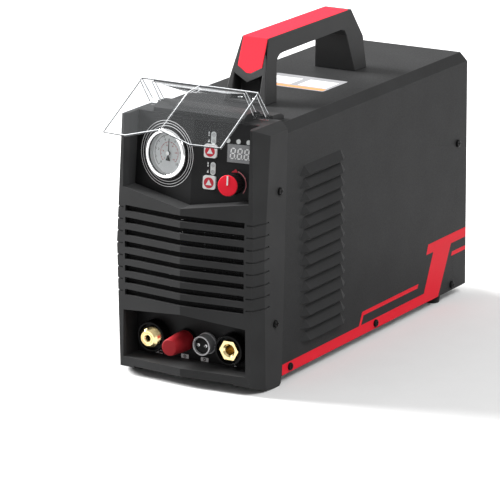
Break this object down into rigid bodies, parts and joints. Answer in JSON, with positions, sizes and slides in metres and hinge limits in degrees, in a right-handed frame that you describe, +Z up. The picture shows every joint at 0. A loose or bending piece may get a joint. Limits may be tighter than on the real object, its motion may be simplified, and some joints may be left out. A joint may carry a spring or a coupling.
{
  "type": "plasma cutter unit",
  "caption": "Portable inverter plasma cutter: louvred sheet cover, bowed moulded front with flip-up clear visor, air gauge, current control, front connectors, handle and rear fan.",
  "frame": {"origin": "centre of the bounding box's footprint, on the floor plane", "axes": "+Z up, front panel faces -Y, +X is the machine's right side seen from the front, -Y to +Y is front to rear"},
  "size_m": [0.1598, 0.4526, 0.293],
  "materials": {
    "cover_paint": "textured dark grey powder coat",
    "zinc_steel": "zinc plated sheet",
    "bezel_plastic": "fine-textured black moulding",
    "visor_clear": "clear smoked moulding",
    "handle_plastic": "satin black moulding",
    "red_plastic": "satin red moulding",
    "screw_black": "black oxide screw",
    "screw_zinc": "bright zinc screw",
    "panel_face": "printed black panel",
    "lamp_lens": "frosted lamp lens",
    "display_face": "dark red display face",
    "button_plastic": "light grey button",
    "board_green": "green circuit board",
    "steel": "machined steel",
    "knob_plastic": "ribbed black knob",
    "gauge_black": "black enamelled can",
    "gauge_chrome": "polished ring",
    "gauge_glass": "clear lens",
    "dial_white": "printed white dial",
    "needle_black": "black pointer",
    "brass": "machined brass",
    "black_insulator": "black moulded insulator",
    "aluminium": "extruded aluminium",
    "copper": "bare copper",
    "ferrite": "ferrite",
    "tape_yellow": "insulating tape",
    "capacitor_sleeve": "shrink sleeve",
    "fan_plastic": "black moulding",
    "rubber": "black rubber",
    "hose_blue": "polyurethane hose"
  },
  "bodies": {
    "case": {"outer_cover": "cover_paint", "base_chassis": "zinc_steel", "front_bezel": "bezel_plastic", "hinge_block": "bezel_plastic", "front_frame": "zinc_steel", "rear_panel": "cover_paint", "handle_body": "handle_plastic", "handle_inlay": "red_plastic", "machine_screws": "screw_zinc", "side_screws": "screw_black", "control_panel": "panel_face", "indicator_lamps": "lamp_lens", "display_module": "display_face", "control_board": "board_green", "potentiometer": "steel", "gauge_case": "gauge_black", "gauge_ring": "gauge_chrome", "gauge_lens": "gauge_glass", "gauge_dial": "dial_white", "gauge_movement": "brass", "air_fittings": "brass", "connector_plate": "panel_face", "torch_insulator": "black_insulator", "torch_stud": "brass", "ground_insulator": "black_insulator", "ground_socket": "brass", "post_collar": "black_insulator", "post_stud": "brass", "pilot_plug_shell": "gauge_chrome", "pilot_plug_insert": "black_insulator", "main_board": "board_green", "board_posts": "black_insulator", "heat_sinks": "aluminium", "power_devices": "black_insulator", "bulk_capacitors": "capacitor_sleeve", "transformer_core": "ferrite", "transformer_winding": "tape_yellow", "output_inductor": "copper", "output_leads": "copper", "fan_frame": "fan_plastic", "fan_guard": "screw_zinc", "fan_screws": "screw_zinc", "power_switch": "black_insulator", "cord_gland": "black_insulator", "air_inlet": "brass", "solenoid_valve": "brass", "valve_coil": "black_insulator", "air_hoses": "hose_blue", "earth_stud": "screw_zinc", "rear_feet": "rubber"},
    "visor_cover": {"visor": "visor_clear"},
    "current_knob": {"knob_shaft": "steel", "knob_body": "knob_plastic", "knob_cap": "red_plastic"},
    "upper_button": {"button_upper": "button_plastic"},
    "lower_button": {"button_lower": "button_plastic"},
    "needle": {"gauge_needle": "needle_black"},
    "fan": {"fan_rotor": "fan_plastic"},
    "rocker": {"switch_rocker": "red_plastic"},
    "pilot_cap": {"post_cap": "red_plastic"}
  },
  "joints": [
    {"name": "visor_hinge", "type": "hinge", "parent": "case", "child": "visor_cover", "pos_m": [0, -0.141, 0.2434], "axis": [1, 0, 0], "range_deg": [-40, 50]},
    {"name": "knob_turn", "type": "hinge", "parent": "case", "child": "current_knob", "pos_m": [0.04127, -0.16649, 0.1858], "axis": [0.1154, -0.9868, 0.1132], "range_deg": [-150, 150]},
    {"name": "upper_button_press", "type": "slide", "parent": "case", "child": "upper_button", "axis": [-0.1154, 0.9868, -0.1132], "range_m": [0, 0.001], "stiffness_N_per_m": 1500, "springref_m": -0.0005},
    {"name": "lower_button_press", "type": "slide", "parent": "case", "child": "lower_button", "axis": [-0.1154, 0.9868, -0.1132], "range_m": [0, 0.001], "stiffness_N_per_m": 1500, "springref_m": -0.0005},
    {"name": "gauge_needle_turn", "type": "hinge", "parent": "case", "child": "needle", "pos_m": [-0.02842, -0.16585, 0.2045], "axis": [-0.1154, -0.9868, 0.1132], "range_deg": [-270, 0], "stiffness_Nm_per_rad": 0.0004},
    {"name": "fan_spin", "type": "hinge", "parent": "case", "child": "fan", "pos_m": [0, 0.187, 0.163], "axis": [0, 1, 0], "continuous": true},
    {"name": "power_switch_rock", "type": "hinge", "parent": "case", "child": "rocker", "pos_m": [-0.045, 0.2, 0.06], "axis": [1, 0, 0], "range_deg": [-22, 0]},
    {"name": "pilot_cap_turn", "type": "hinge", "parent": "case", "child": "pilot_cap", "pos_m": [-0.01, -0.18, 0.0352], "axis": [0, -1, 0], "continuous": true}
  ]
}
